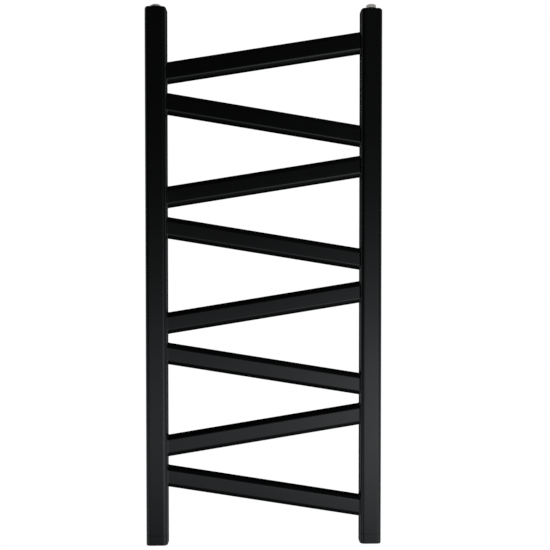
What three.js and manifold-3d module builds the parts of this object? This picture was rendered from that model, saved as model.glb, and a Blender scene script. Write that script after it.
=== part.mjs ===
// A wall-hung ladder towel warmer for a hot-water circuit. Two flat-sided uprights are joined by eight
// slanted rungs in a zigzag. The top ends carry an air vent and a blanking plug, the lower ends are
// threaded for the pipes, and four telescopic brackets hold the rack off the wall.
//
// Millimetres. +X runs along the wall to the right, +Y points into the wall and +Z is up. The origin is
// on the wall, midway between the uprights and level with their lower ends.

import * as THREE from "three";
import { mergeVertices } from "three/addons/utils/BufferGeometryUtils.js";
import Module from "manifold-3d";

const wasm = await Module();
wasm.setup();

// ---------------------------------------------------------------- driving dimensions

const FIT = 0.3; // clearance left between two pieces that touch
const CUT = 2; // how far a cutting tool runs past the surface that it opens

const HEIGHT = 1000; // from the pipe ends to the flat tops of the caps
const CENTRES = 400; // between the centre lines of the uprights
const WALL_GAP = 40; // from the wall to the back of the uprights, with the brackets pushed home

const UPRIGHT = { width: 40, depth: 30, wall: 2, corner: 8 };
const RUNG = { count: 8, height: 40, depth: 20, wall: 1.5, corner: 9.5 };

// The zigzag, measured along the centre lines of the uprights.
const ZIGZAG = {
  firstLeft: 876, // height of the top rung at the left upright
  rise: 65, // how far a rung climbs or falls between the uprights
  pinch: 50, // between two rungs where they come closest
  middleExtra: 5, // the middle pinch is this much wider than the others
};
const PASSAGE = { width: 12, height: 26 }; // water way from an upright into a rung

const CAP = { height: 8, rounding: 5.5, spigot: 6, bore: 8.5 };
const PIPE_END = { height: 18, spigot: 6, bore: 10.3, mouth: 11.3 };
const THREAD = { radius: 8.2, length: 9.5 }; // of the vent and the plug, in the caps

const SEAL = { inner: 8.5, outer: 9.8, height: 1 };
const VENT = { flange: 9.5, flangeHeight: 1.5, neck: 5, ring: 8.6, ringHeight: 2, bore: 2.6, seat: 1.2 };
const NOZZLE = { radius: 1.7, flatness: 0.6, hole: 0.8, reach: 10.5 };
const BLEED = { stem: 2.3, head: 4.2, crown: 2.9, headHeight: 1.1, slot: 1, slotDepth: 0.7 };
const PLUG = { acrossFlats: 17, headHeight: 6.4, bevel: 1 };

const BRACKET_HEIGHTS = { lower: 98, upper: 908 };
const BOSS = { radius: 7, length: 12, threadDepth: 9.5 };
const PIN = { thread: 4, threadLength: 9, collar: 7, collarHeight: 2.5, radius: 5, end: 8 };
const SLEEVE = { flange: 10, floor: 2.5, radius: 8.5, bore: 5.3, length: 36, screwHole: 2.8 };
const FOOT_RECESS = { radius: 4.6, depth: 0.5 }; // in the sleeve's foot, over the end of the wall plug
const COVER = { radius: 11.5, height: 4.5, top: 1.5, bevel: 0.8 };
const GRUB = { radius: 2.4, height: 32, socket: 2.5, socketDepth: 1.6 };
const WALL_SCREW = {
  head: 4.7,
  headHeight: 3.5,
  shank: 2.5,
  length: 43,
  tip: 5,
  socket: 4,
  socketDepth: 2,
};
const WALL_PLUG = { radius: 4, root: 3.6, ribs: 4, length: 38, taper: 6, tip: 3.3 };

const ROUND = 20; // sides of a turned piece
const FEW = 12; // sides of a wall plug
const ARC = 3; // half the steps in a quarter circle of a profile

const FRONT = -(WALL_GAP + UPRIGHT.depth); // front faces of the uprights
const MIDDLE = FRONT + UPRIGHT.depth / 2; // centre plane of the uprights and the rungs

// ---------------------------------------------------------------- materials

const FINISHES = {
  powderCoat: { color: 0x1a1b1d, roughness: 0.5, metalness: 0.1 },
  nickel: { color: 0xc6c7c8, roughness: 0.22, metalness: 1 },
  silverPlastic: { color: 0xa9abad, roughness: 0.4, metalness: 0.2 },
  rubber: { color: 0x151515, roughness: 0.8, metalness: 0 },
  zinc: { color: 0xa7a9a6, roughness: 0.38, metalness: 1 },
  nylon: { color: 0x8d9095, roughness: 0.6, metalness: 0 },
};

function piece(name, geometry, finish, x = 0, y = 0, z = 0) {
  const mesh = new THREE.Mesh(geometry, new THREE.MeshStandardMaterial(FINISHES[finish]));
  mesh.name = name;
  mesh.position.set(x, y, z);
  return mesh;
}

// ---------------------------------------------------------------- solids: joining and cutting

function toSolid(geometry) {
  const bare = new THREE.BufferGeometry();
  const flat = geometry.index ? geometry.toNonIndexed() : geometry;
  bare.setAttribute("position", flat.getAttribute("position"));
  const merged = mergeVertices(bare);
  const mesh = new wasm.Mesh({
    numProp: 3,
    vertProperties: merged.attributes.position.array,
    triVerts: new Uint32Array(merged.index.array),
  });
  return new wasm.Manifold(mesh);
}

function toGeometry(solid) {
  const { vertProperties, triVerts } = solid.getMesh();
  const geometry = new THREE.BufferGeometry();
  geometry.setAttribute("position", new THREE.BufferAttribute(vertProperties, 3));
  geometry.setIndex(new THREE.BufferAttribute(triVerts, 1));
  geometry.computeVertexNormals();
  return geometry;
}

function join(...geometries) {
  return toGeometry(geometries.map(toSolid).reduce((whole, next) => whole.add(next)));
}

function cut(body, ...tools) {
  return toGeometry(tools.map(toSolid).reduce((left, tool) => left.subtract(tool), toSolid(body)));
}

function common(a, b) {
  return toGeometry(toSolid(a).intersect(toSolid(b)));
}

// ---------------------------------------------------------------- solids: basic forms

// A rectangle with round corners, centred on the origin.
function roundedRectangle(width, height, corner, Outline = THREE.Shape) {
  const x = width / 2 - corner;
  const y = height / 2 - corner;
  const quarter = Math.PI / 2;
  const outline = new Outline();
  outline.absarc(x, y, corner, 0, quarter);
  outline.absarc(-x, y, corner, quarter, 2 * quarter);
  outline.absarc(-x, -y, corner, 2 * quarter, 3 * quarter);
  outline.absarc(x, -y, corner, 3 * quarter, 4 * quarter);
  outline.closePath();
  return outline;
}

function extruded(shape, depth, options = {}) {
  const settings = { depth, bevelEnabled: false, curveSegments: ARC, ...options };
  return new THREE.ExtrudeGeometry(shape, settings);
}

// A rectangular tube, open at both ends, that stands on the XY plane.
function boxTube({ width, depth, wall, corner }, length) {
  const profile = roundedRectangle(width, depth, corner);
  profile.holes.push(roundedRectangle(width - 2 * wall, depth - 2 * wall, corner - wall, THREE.Path));
  return extruded(profile, length);
}

// A solid of revolution about Z. The outline is [radius, height] pairs that go up the outside.
function turned(outline, sides = ROUND) {
  const closed = [...outline, outline[0]];
  const points = closed.map(([radius, height]) => new THREE.Vector2(radius, height));
  return new THREE.LatheGeometry(points, sides).rotateX(Math.PI / 2);
}

// A cylinder or a six-sided bar along Z, from one height to another.
function rod(radius, from, to, sides = ROUND) {
  const length = to - from;
  return new THREE.CylinderGeometry(radius, radius, length, sides)
    .rotateX(Math.PI / 2)
    .translate(0, 0, from + length / 2);
}

function hexBar(acrossFlats, from, to) {
  return rod(acrossFlats / Math.sqrt(3), from, to, 6);
}

function block(width, depth, height) {
  return new THREE.BoxGeometry(width, depth, height);
}

// ---------------------------------------------------------------- the welded rack

// Height of a rung's centre line where it meets the centre line of an upright. Odd rungs climb to the
// right and even rungs fall to the right, so two rungs meet at a pinch on alternate sides.
function rungHeight(number, side) {
  const pair = Math.floor((number - 1) / 2);
  const below = number > RUNG.count / 2 ? ZIGZAG.middleExtra : 0;
  const period = 2 * (ZIGZAG.rise + ZIGZAG.pinch);
  const pairTop = ZIGZAG.firstLeft - pair * period - below;
  const climbs = number % 2 === 1;
  const left = climbs ? pairTop : pairTop - ZIGZAG.pinch;
  if (side < 0) return left;
  return climbs ? left + ZIGZAG.rise : left - ZIGZAG.rise;
}

function rungNumbers() {
  return Array.from({ length: RUNG.count }, (_, index) => index + 1);
}

// A rung is a tube cut upright at both ends, so its section is stretched and then sheared along X.
function rung(number) {
  const left = rungHeight(number, -1);
  const right = rungHeight(number, 1);
  const slope = (right - left) / CENTRES;
  const length = CENTRES - UPRIGHT.width - 2 * FIT;
  const section = { width: RUNG.depth, depth: RUNG.height, wall: RUNG.wall, corner: RUNG.corner };
  const alongX = new THREE.Matrix4().makeBasis(
    new THREE.Vector3(0, 1, 0),
    new THREE.Vector3(0, 0, Math.hypot(1, slope)),
    new THREE.Vector3(1, 0, 0),
  );
  const shear = new THREE.Matrix4();
  shear.elements[2] = slope;
  const tube = boxTube(section, length).translate(0, 0, -length / 2);
  tube.applyMatrix4(alongX).applyMatrix4(shear);
  return piece(`rung_${number}`, tube, "powderCoat", 0, MIDDLE, (left + right) / 2);
}

// side is -1 for the left upright and 1 for the right one.
function upright(name, side) {
  const foot = PIPE_END.height + FIT;
  const length = HEIGHT - CAP.height - FIT - foot;
  const tube = boxTube(UPRIGHT, length).translate(0, 0, foot);
  const passages = rungNumbers().map((number) =>
    extruded(roundedRectangle(PASSAGE.height, PASSAGE.width, PASSAGE.width / 2), UPRIGHT.width / 2 + CUT)
      .rotateY(-side * Math.PI / 2)
      .translate(0, 0, rungHeight(number, side)),
  );
  const bossHoles = Object.values(BRACKET_HEIGHTS).map((height) =>
    rod(BOSS.radius + FIT, 0, UPRIGHT.depth / 2 + CUT)
      .rotateX(-Math.PI / 2)
      .translate(0, 0, height),
  );
  const tubeWithHoles = cut(tube, ...passages, ...bossHoles);
  return piece(name, tubeWithHoles, "powderCoat", (side * CENTRES) / 2, MIDDLE, 0);
}

// The spigot of an end piece, from its shoulder at z = 0 towards the inside of the tube.
function spigot(length) {
  const inset = 2 * (UPRIGHT.wall + FIT);
  const corner = UPRIGHT.corner - UPRIGHT.wall - FIT;
  return extruded(roundedRectangle(UPRIGHT.width - inset, UPRIGHT.depth - inset, corner), length);
}

// The cap's rounded shoulders are one half of a block that is bevelled at both ends.
function topCap(name, side) {
  const outline = roundedRectangle(UPRIGHT.width, UPRIGHT.depth, UPRIGHT.corner);
  const straight = 2 * (CAP.height - CAP.rounding);
  const pillow = extruded(outline, straight, {
    bevelEnabled: true,
    bevelSize: CAP.rounding,
    bevelOffset: -CAP.rounding,
    bevelThickness: CAP.rounding,
    bevelSegments: 2 * ARC,
  }).translate(0, 0, -straight / 2);
  const half = CAP.height + CUT;
  const upperHalf = block(2 * UPRIGHT.width, 2 * UPRIGHT.width, half).translate(0, 0, half / 2);
  const body = join(common(pillow, upperHalf), spigot(CAP.spigot + CUT).translate(0, 0, -CAP.spigot));
  const bored = cut(body, rod(CAP.bore, -CAP.spigot - CUT, CAP.height + CUT));
  return piece(name, bored, "powderCoat", (side * CENTRES) / 2, MIDDLE, HEIGHT - CAP.height);
}

// The lower end piece, threaded for a half-inch pipe connection that enters from below.
function pipeEnd(name, side) {
  const outline = roundedRectangle(UPRIGHT.width, UPRIGHT.depth, UPRIGHT.corner);
  const body = join(
    extruded(outline, PIPE_END.height),
    spigot(PIPE_END.spigot + CUT).translate(0, 0, PIPE_END.height - CUT),
  );
  const top = PIPE_END.height + PIPE_END.spigot;
  const countersink = PIPE_END.mouth - PIPE_END.bore;
  const bore = turned([
    [0, -CUT],
    [PIPE_END.mouth, -CUT],
    [PIPE_END.mouth, 0],
    [PIPE_END.bore, countersink],
    [PIPE_END.bore, top + CUT],
    [0, top + CUT],
  ]);
  return piece(name, cut(body, bore), "powderCoat", (side * CENTRES) / 2, MIDDLE, 0);
}

function weldedRack() {
  const rack = new THREE.Group();
  for (const [word, side] of [
    ["left", -1],
    ["right", 1],
  ]) {
    rack.add(upright(`${word}_upright`, side));
    rack.add(topCap(`${word}_top_cap`, side));
    rack.add(pipeEnd(`${word}_pipe_end`, side));
  }
  rungNumbers().forEach((number) => rack.add(rung(number)));
  return rack;
}

// ---------------------------------------------------------------- fittings on the top caps

// Heights here are above the flat top of a cap.
const SEAL_TOP = FIT + SEAL.height;
const FLANGE_FOOT = SEAL_TOP + FIT;

function seal(name) {
  const ring = turned([
    [SEAL.inner, FIT],
    [SEAL.outer, FIT],
    [SEAL.outer, SEAL_TOP],
    [SEAL.inner, SEAL_TOP],
  ]);
  return piece(name, ring, "rubber");
}

function ventBody() {
  const flangeTop = FLANGE_FOOT + VENT.flangeHeight;
  const neckTop = flangeTop + FIT + VENT.ringHeight;
  const seatTop = -CAP.height / 2;
  const body = turned([
    [VENT.seat, -THREAD.length],
    [THREAD.radius, -THREAD.length],
    [THREAD.radius, FLANGE_FOOT],
    [VENT.flange, FLANGE_FOOT],
    [VENT.flange, flangeTop],
    [VENT.neck, flangeTop],
    [VENT.neck, neckTop],
    [VENT.bore, neckTop],
    [VENT.bore, seatTop],
    [VENT.seat, seatTop + VENT.seat - VENT.bore],
  ]);
  const port = rod(NOZZLE.hole, 0, VENT.neck + CUT)
    .rotateY(-Math.PI / 2)
    .translate(0, 0, (flangeTop + neckTop) / 2);
  return piece("vent_body", cut(body, port), "nickel");
}

// The ring turns on the vent's neck, so the water can be let out to any side.
function ventSpout() {
  const foot = FLANGE_FOOT + VENT.flangeHeight + FIT;
  const top = foot + VENT.ringHeight - FIT;
  const middle = (foot + top) / 2;
  const bevel = 0.7;
  const inner = VENT.neck + FIT;
  const ring = turned([
    [inner, foot],
    [VENT.ring, foot],
    [VENT.ring, top - bevel],
    [VENT.ring - 2 * bevel, top],
    [inner, top],
  ]);
  const nozzle = rod(NOZZLE.radius, VENT.ring - CUT, NOZZLE.reach).scale(NOZZLE.flatness, 1, 1);
  const outlet = rod(NOZZLE.hole, 0, NOZZLE.reach + CUT);
  for (const tool of [nozzle, outlet]) tool.rotateY(-Math.PI / 2).translate(0, 0, middle);
  return piece("vent_spout", cut(join(ring, nozzle), outlet), "silverPlastic");
}

function bleedScrew() {
  const headFoot = FLANGE_FOOT + VENT.flangeHeight + FIT + VENT.ringHeight + FIT;
  const headTop = headFoot + BLEED.headHeight;
  const tipFoot = -CAP.height / 2 + FIT;
  const tip = BLEED.stem - VENT.seat;
  const screw = turned([
    [0, tipFoot],
    [VENT.seat, tipFoot],
    [BLEED.stem, tipFoot + tip],
    [BLEED.stem, headFoot],
    [BLEED.head, headFoot],
    [BLEED.head, headFoot + BLEED.headHeight / 2],
    [BLEED.crown, headTop],
    [0, headTop],
  ]);
  const slot = block(3 * BLEED.head, BLEED.slot, 2 * BLEED.slotDepth).translate(0, 0, headTop);
  return piece("bleed_screw", cut(screw, slot), "nickel");
}

function blankingPlug() {
  const headTop = FLANGE_FOOT + PLUG.headHeight;
  const corner = PLUG.acrossFlats / Math.sqrt(3);
  const bevelled = turned([
    [0, FLANGE_FOOT],
    [corner, FLANGE_FOOT],
    [corner, headTop - PLUG.bevel],
    [corner - 2 * PLUG.bevel, headTop],
    [0, headTop],
  ]);
  const head = common(hexBar(PLUG.acrossFlats, FLANGE_FOOT - CUT, headTop + CUT), bevelled);
  const flange = rod(VENT.flange, FLANGE_FOOT, FLANGE_FOOT + VENT.flangeHeight);
  const stem = rod(THREAD.radius, -THREAD.length, FLANGE_FOOT + FIT);
  return piece("blanking_plug", join(head, flange, stem), "nickel");
}

function onCap(side, ...pieces) {
  const group = new THREE.Group();
  group.position.set((side * CENTRES) / 2, MIDDLE, HEIGHT);
  group.add(...pieces);
  return group;
}

// ---------------------------------------------------------------- wall brackets

// Each bracket is modelled along its own +Z, from the wall at z = 0 towards the room.

// A threaded boss, welded into the back of an upright and closed at its inner end.
function boss(name) {
  const foot = WALL_GAP;
  const bore = PIN.thread + FIT;
  const body = turned([
    [0, foot + BOSS.threadDepth],
    [bore, foot + BOSS.threadDepth],
    [bore, foot],
    [BOSS.radius, foot],
    [BOSS.radius, foot + BOSS.length],
    [0, foot + BOSS.length],
  ]);
  return piece(name, body, "zinc");
}

function pin(name) {
  const collarTop = WALL_GAP - FIT;
  const bevel = 0.8;
  const body = turned([
    [0, PIN.end],
    [PIN.radius - bevel, PIN.end],
    [PIN.radius, PIN.end + bevel],
    [PIN.radius, collarTop - PIN.collarHeight],
    [PIN.collar, collarTop - PIN.collarHeight],
    [PIN.collar, collarTop],
    [PIN.thread, collarTop],
    [PIN.thread, collarTop + PIN.threadLength],
    [0, collarTop + PIN.threadLength],
  ]);
  return piece(name, body, "zinc");
}

function sleeve(name) {
  const bevel = 0.6;
  const tube = turned([
    [SLEEVE.screwHole, FOOT_RECESS.depth],
    [FOOT_RECESS.radius, FOOT_RECESS.depth],
    [FOOT_RECESS.radius, 0],
    [SLEEVE.flange, 0],
    [SLEEVE.flange, SLEEVE.floor],
    [SLEEVE.radius, SLEEVE.floor],
    [SLEEVE.radius, SLEEVE.length - bevel],
    [SLEEVE.radius - bevel, SLEEVE.length],
    [SLEEVE.bore, SLEEVE.length],
    [SLEEVE.bore, SLEEVE.floor],
    [SLEEVE.screwHole, SLEEVE.floor],
  ]);
  const grubHole = rod(GRUB.radius + FIT, 0, SLEEVE.radius + CUT)
    .rotateX(Math.PI / 2)
    .translate(0, 0, GRUB.height);
  return piece(name, cut(tube, grubHole), "powderCoat");
}

// The cover is a shallow cup that slides along the sleeve and hides its flange.
function cover(name) {
  const recess = SLEEVE.flange + FIT;
  const hole = SLEEVE.radius + FIT;
  const cup = turned([
    [recess, 0],
    [COVER.radius, 0],
    [COVER.radius, COVER.height - COVER.bevel],
    [COVER.radius - COVER.bevel, COVER.height],
    [hole, COVER.height],
    [hole, COVER.height - COVER.top],
    [recess, COVER.height - COVER.top],
  ]);
  return piece(name, cup, "powderCoat");
}

// The grub screw comes up from below through the wall of the sleeve and clamps the pin.
function grubScrew(name) {
  const length = SLEEVE.radius - SLEEVE.bore;
  const bevel = 0.4;
  const screw = turned([
    [0, SLEEVE.bore],
    [GRUB.radius - bevel, SLEEVE.bore],
    [GRUB.radius, SLEEVE.bore + bevel],
    [GRUB.radius, SLEEVE.bore + length],
    [0, SLEEVE.bore + length],
  ]);
  const socket = hexBar(GRUB.socket, SLEEVE.radius - GRUB.socketDepth, SLEEVE.radius + CUT);
  const socketed = cut(screw, socket).rotateX(Math.PI / 2);
  return piece(name, socketed, "zinc", 0, 0, GRUB.height);
}

function wallScrew(name) {
  const foot = SLEEVE.floor + FIT;
  const top = foot + WALL_SCREW.headHeight;
  const end = foot - WALL_SCREW.length;
  const bevel = 0.8;
  const screw = turned([
    [0, end],
    [WALL_SCREW.shank, end + WALL_SCREW.tip],
    [WALL_SCREW.shank, foot],
    [WALL_SCREW.head, foot],
    [WALL_SCREW.head, top - bevel],
    [WALL_SCREW.head - bevel, top],
    [0, top],
  ]);
  const socket = hexBar(WALL_SCREW.socket, top - WALL_SCREW.socketDepth, top + CUT);
  return piece(name, cut(screw, socket), "zinc");
}

// The plug sits in the wall, behind the bracket, with the screw through it.
function wallPlug(name) {
  const bore = WALL_SCREW.shank + FIT;
  const ribbed = WALL_PLUG.length - WALL_PLUG.taper;
  const pitch = ribbed / WALL_PLUG.ribs;
  const ribs = Array.from({ length: WALL_PLUG.ribs }, (_, index) => {
    const foot = -FIT - ribbed + index * pitch;
    return [
      [WALL_PLUG.root, foot],
      [WALL_PLUG.radius, foot + pitch / 2],
      [WALL_PLUG.radius, foot + pitch],
    ];
  }).flat();
  const end = -FIT - WALL_PLUG.length;
  const outline = [[bore, end], [WALL_PLUG.tip, end], ...ribs, [bore, -FIT]];
  return piece(name, turned(outline, FEW), "nylon");
}

function bracket(name, side, height) {
  const group = new THREE.Group();
  group.position.set((side * CENTRES) / 2, 0, height);
  group.rotation.x = Math.PI / 2;
  group.add(
    boss(`${name}_boss`),
    pin(`${name}_pin`),
    sleeve(`${name}_sleeve`),
    cover(`${name}_cover`),
    grubScrew(`${name}_grub_screw`),
    wallScrew(`${name}_wall_screw`),
    wallPlug(`${name}_wall_plug`),
  );
  return group;
}

// ---------------------------------------------------------------- the whole towel warmer

const towelWarmer = new THREE.Group();
towelWarmer.add(weldedRack());
towelWarmer.add(onCap(-1, seal("vent_seal"), ventBody(), ventSpout(), bleedScrew()));
towelWarmer.add(onCap(1, seal("plug_seal"), blankingPlug()));
for (const [level, height] of Object.entries(BRACKET_HEIGHTS)) {
  towelWarmer.add(bracket(`${level}_left`, -1, height));
  towelWarmer.add(bracket(`${level}_right`, 1, height));
}

export default towelWarmer;
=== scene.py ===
"""A wall-hung ladder towel warmer in satin black, with eight slanted rungs between two uprights.

Lengths are in millimetres where a name says nothing else, and become metres when a mesh is made. The frame
is the CAD model's: +X along the wall to the right, +Y into the wall, +Z up, origin on the wall.
"""

import math

import bmesh
import bpy
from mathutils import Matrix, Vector, noise


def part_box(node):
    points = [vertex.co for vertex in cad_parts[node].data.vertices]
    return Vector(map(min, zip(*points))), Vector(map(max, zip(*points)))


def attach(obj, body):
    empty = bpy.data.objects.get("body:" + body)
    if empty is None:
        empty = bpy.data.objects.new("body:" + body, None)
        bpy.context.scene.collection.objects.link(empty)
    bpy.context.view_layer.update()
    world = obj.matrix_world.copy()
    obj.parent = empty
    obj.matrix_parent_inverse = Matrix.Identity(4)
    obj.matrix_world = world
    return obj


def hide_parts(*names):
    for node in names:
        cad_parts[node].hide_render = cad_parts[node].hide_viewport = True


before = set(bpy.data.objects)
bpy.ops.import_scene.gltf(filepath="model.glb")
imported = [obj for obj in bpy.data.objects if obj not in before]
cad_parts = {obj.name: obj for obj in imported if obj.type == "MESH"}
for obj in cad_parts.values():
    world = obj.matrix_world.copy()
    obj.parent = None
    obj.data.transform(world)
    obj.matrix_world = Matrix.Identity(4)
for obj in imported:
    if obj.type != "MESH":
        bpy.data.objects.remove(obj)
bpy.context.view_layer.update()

# ---------------------------------------------------------------- sizes

MM = 0.001
QUARTER = math.pi / 2
FULL = 2 * math.pi

SEAM = 0.15  # how far two pieces reach into the gap between them
SEAM_EDGE = 0.3  # bevel that leaves a fine groove at a seam

UPRIGHT = {"width": 40, "depth": 30, "corner": 8, "wall": 2}
RUNG = {"height": 40, "depth": 20, "corner": 9.5, "wall": 1.5, "slope": 65 / 400, "count": 8}
RUNG_STEPS = 24  # points in a quarter of a rung's rounded edge
WELD = {"size": 2.4, "sunk": 0.5, "ripple": 2.5, "ripple_depth": 0.07, "drift": 0.12, "steps": 8}
PASSAGE = {"width": 12, "height": 26, "reach": 12}

CAP = {"height": 8, "rounding": 5.5, "bore": 8.5, "countersink": 0.5}
SPIGOT = {"width": 35.4, "depth": 25.4, "corner": 5.7, "edge": 0.6}
PIPE_END = {"height": 18, "edge": 0.8, "mouth": 11.3, "crest": 9.6, "depth": 0.8, "pitch": 1.8, "runout": 4}

# Fittings: heights are above the flat top of a cap.
SEAL = {"inner": 8.5, "outer": 9.8, "foot": 0.3, "top": 1.3}
FLANGE = {"foot": 1.6, "top": 3.1, "radius": 9.5}
STEM = {"root": 7.5, "crest": 8.2, "pitch": 1.4, "foot": -9.5}
VENT = {"neck": 5, "neck_top": 5.4, "bore": 2.6, "seat": 1.2, "seat_top": -4, "seat_depth": 1.4}
SPOUT = {"foot": 3.4, "top": 5.1, "inner": 5.3, "outer": 8.6, "bevel": 0.7, "grips": 40, "grip_depth": 0.28}
NOZZLE = {"radius": 1.7, "flatness": 0.6, "hole": 0.8, "start": 6.6, "reach": 10.5}
BLEED = {"stem": 2.3, "head": 4.2, "foot": 5.7, "rim": 0.55, "bevel": 1.3, "top": 6.8}
SLOT = {"width": 1, "depth": 0.7, "ease": 0.15}
PLUG = {"across_flats": 17, "top": 8, "chamfer": 1.1, "land": 1.6, "dish": 0.35}

# Brackets: heights are above the wall, towards the room.
BOSS = {"foot": 40, "length": 12, "radius": 7, "bore": 4.3, "bore_depth": 9.5}
BOSS_WELD = {"inner": 7.05, "outer": 8.9, "height": 0.75, "sunk": 0.2, "ripples": 22, "ripple_depth": 0.12}
PIN = {"end": 8, "radius": 5, "collar_foot": 37.2, "collar_top": 39.7, "collar": 7, "flats": 12}
PIN_THREAD = {"root": 3.4, "crest": 4, "pitch": 1.25, "top": 48.7}
SLEEVE = {"flange": 10, "floor": 2.5, "radius": 8.5, "bore": 5.3, "length": 36, "screw_hole": 2.8}
FOOT_RECESS = {"radius": 4.6, "depth": 0.5}
COVER = {"radius": 11.5, "height": 4.5, "top": 1.5, "recess": 10.3, "hole": 8.8}
GRUB = {"radius": 2.4, "root": 2, "height": 32, "foot": 5.3, "top": 8.5, "pitch": 0.8}
GRUB_SOCKET = {"across_flats": 2.5, "foot": 6.9}
WALL_SCREW = {"head": 4.7, "foot": 2.8, "top": 6.3, "dome": 0.9, "end": -40.2}
WALL_SCREW_SOCKET = {"across_flats": 4, "foot": 4.3}
WOOD_THREAD = {"root": 1.75, "crest": 2.5, "pitch": 2.4, "foot": -35.2, "top": -6}
WALL_PLUG = {"radius": 4, "root": 3.6, "teeth": 8, "bore": 2.8, "mouth": -0.3, "end": -38.3, "tip": 3.3}
PLUG_COLLAR = {"length": 7, "fin": 0.12, "beside": 0.3, "fin_height": 0.25}  # fin angles in radians
PLUG_SLOT = {"half_angle": 0.13, "depth": 0.75}

CORNER_STEPS = 12
TURN_STEPS = 96  # sides of a turned piece

# ---------------------------------------------------------------- mesh building


def box_mm(node):
    """Lowest and highest corner of a CAD node, in millimetres."""
    low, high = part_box(node)
    return low / MM, high / MM


def centre_mm(node):
    low, high = box_mm(node)
    return (low + high) / 2


def between(start, end, share):
    return tuple(a + (b - a) * share for a, b in zip(start, end))


def section(width, depth, corner, inset=0.0, steps=CORNER_STEPS, cuts=((0.04, 0.96), (0.06, 0.94))):
    """Points round a rectangle with round corners, drawn in by an inset. The cuts are where its longer and
    its shorter sides have extra points, as shares of their length."""
    across, along = width / 2 - corner, depth / 2 - corner
    radius = corner - inset
    centres = [(across, along), (-across, along), (-across, -along), (across, -along)]
    points = []
    for quarter, (x, y) in enumerate(centres):
        for step in range(steps + 1):
            angle = (quarter + step / steps) * QUARTER
            points.append((x + radius * math.cos(angle), y + radius * math.sin(angle)))
        next_x, next_y = centres[(quarter + 1) % 4]
        angle = (quarter + 1) * QUARTER
        finish = (next_x + radius * math.cos(angle), next_y + radius * math.sin(angle))
        start = points[-1]
        points += [between(start, finish, share) for share in cuts[quarter % 2]]
    return points


def at_height(points, height):
    return [(x, y, height) for x, y in points]


def circle_facing(points, radius):
    """A circle with one point for each given point, in the same direction from the centre."""
    angles = [math.atan2(y, x) for x, y in points]
    return [(radius * math.cos(angle), radius * math.sin(angle)) for angle in angles]


def loft(rings, looped=False):
    """Vertices and faces of a skin over rings of equal length. A looped skin joins its last ring to the
    first; any other is closed by a face at each end."""
    count = len(rings[0])
    vertices = [point for ring in rings for point in ring]
    faces = []
    for index in range(len(rings) if looped else len(rings) - 1):
        here, there = index * count, (index + 1) % len(rings) * count
        for side in range(count):
            after = (side + 1) % count
            faces.append((here + side, here + after, there + after, there + side))
    if not looped:
        faces.append(tuple(reversed(range(count))))
        faces.append(tuple(range(len(vertices) - count, len(vertices))))
    return vertices, faces


def eased(outline, ease, steps=4):
    """A closed outline of (radius, height) points with its corners rounded, but not those on the axis."""
    result = []
    for index, corner in enumerate(outline):
        if corner[0] == 0:
            result.append(corner)
            continue
        here = Vector(corner)
        back = Vector(outline[index - 1]) - here
        ahead = Vector(outline[(index + 1) % len(outline)]) - here
        start = here + back.normalized() * min(ease, 0.45 * back.length)
        finish = here + ahead.normalized() * min(ease, 0.45 * ahead.length)
        for step in range(steps + 1):
            share = step / steps
            point = start * (1 - share) ** 2 + here * 2 * share * (1 - share) + finish * share**2
            result.append((point.x, point.y))
    return result


def lathe(outline, shape=None, sides=TURN_STEPS):
    """A solid of revolution about Z. shape(radius, height, turn) may change a point's radius. An outline
    that starts on the axis ends on it too."""
    rings = []
    for radius, height in outline:
        ring = []
        for side in range(sides):
            turn = FULL * side / sides
            reach = shape(radius, height, turn) if shape else radius
            ring.append((reach * math.cos(turn), reach * math.sin(turn), height))
        rings.append(ring)
    if outline[0][0] > 0:
        return loft(rings, looped=True)
    vertices, faces = loft(rings)
    return vertices, faces[:-2]


def rows(low, high, pitch):
    """Heights from low to high, close enough for a thread of that pitch."""
    count = max(2, round((high - low) / pitch * 8))
    return [low + (high - low) * index / count for index in range(count + 1)]


def thread(root, crest, pitch, low, high, inside=False):
    """A shape for lathe() that winds a right-hand thread round what lies at the crest radius."""
    depth = crest - root

    def shape(radius, height, turn):
        if abs(radius - crest) > depth / 100 or not low < height < high:
            return radius
        phase = (height / pitch - turn / FULL) % 1
        valley = 1 - abs(2 * phase - 1)
        fade = min(1, (height - low) / pitch, (high - height) / pitch)
        return radius + (depth if inside else -depth) * valley * fade

    return shape


def hexagon(across_flats, turn):
    """Distance from a hexagon's centre to its edge in one direction."""
    return across_flats / 2 / math.cos((turn + math.pi / 6) % (math.pi / 3) - math.pi / 6)


def new_object(name, skin, place=(0, 0, 0), turn=(0, 0, 0)):
    """A mesh object from vertices in millimetres round its own origin, which goes to place."""
    vertices, faces = skin
    mesh = bpy.data.meshes.new(name)
    mesh.from_pydata([Vector(v) * MM for v in vertices], [], faces)
    welded = bmesh.new()
    welded.from_mesh(mesh)
    bmesh.ops.remove_doubles(welded, verts=welded.verts, dist=1e-7)
    bmesh.ops.recalc_face_normals(welded, faces=welded.faces)
    welded.to_mesh(mesh)
    welded.free()
    made = bpy.data.objects.new(name, mesh)
    made.location = Vector(place) * MM
    made.rotation_euler = turn
    bpy.context.scene.collection.objects.link(made)
    return made


def carve(piece, tool, operation="DIFFERENCE"):
    """Cuts the tool out of the piece, or joins it on, and removes the tool."""
    modifier = piece.modifiers.new("carve", "BOOLEAN")
    modifier.operation = operation
    modifier.object = tool
    modifier.solver = "EXACT"
    bpy.context.view_layer.update()
    graph = bpy.context.evaluated_depsgraph_get()
    shaped = bpy.data.meshes.new_from_object(piece.evaluated_get(graph))
    shaped.name = piece.name
    piece.modifiers.clear()
    piece.data = shaped
    bpy.data.objects.remove(tool)


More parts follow.
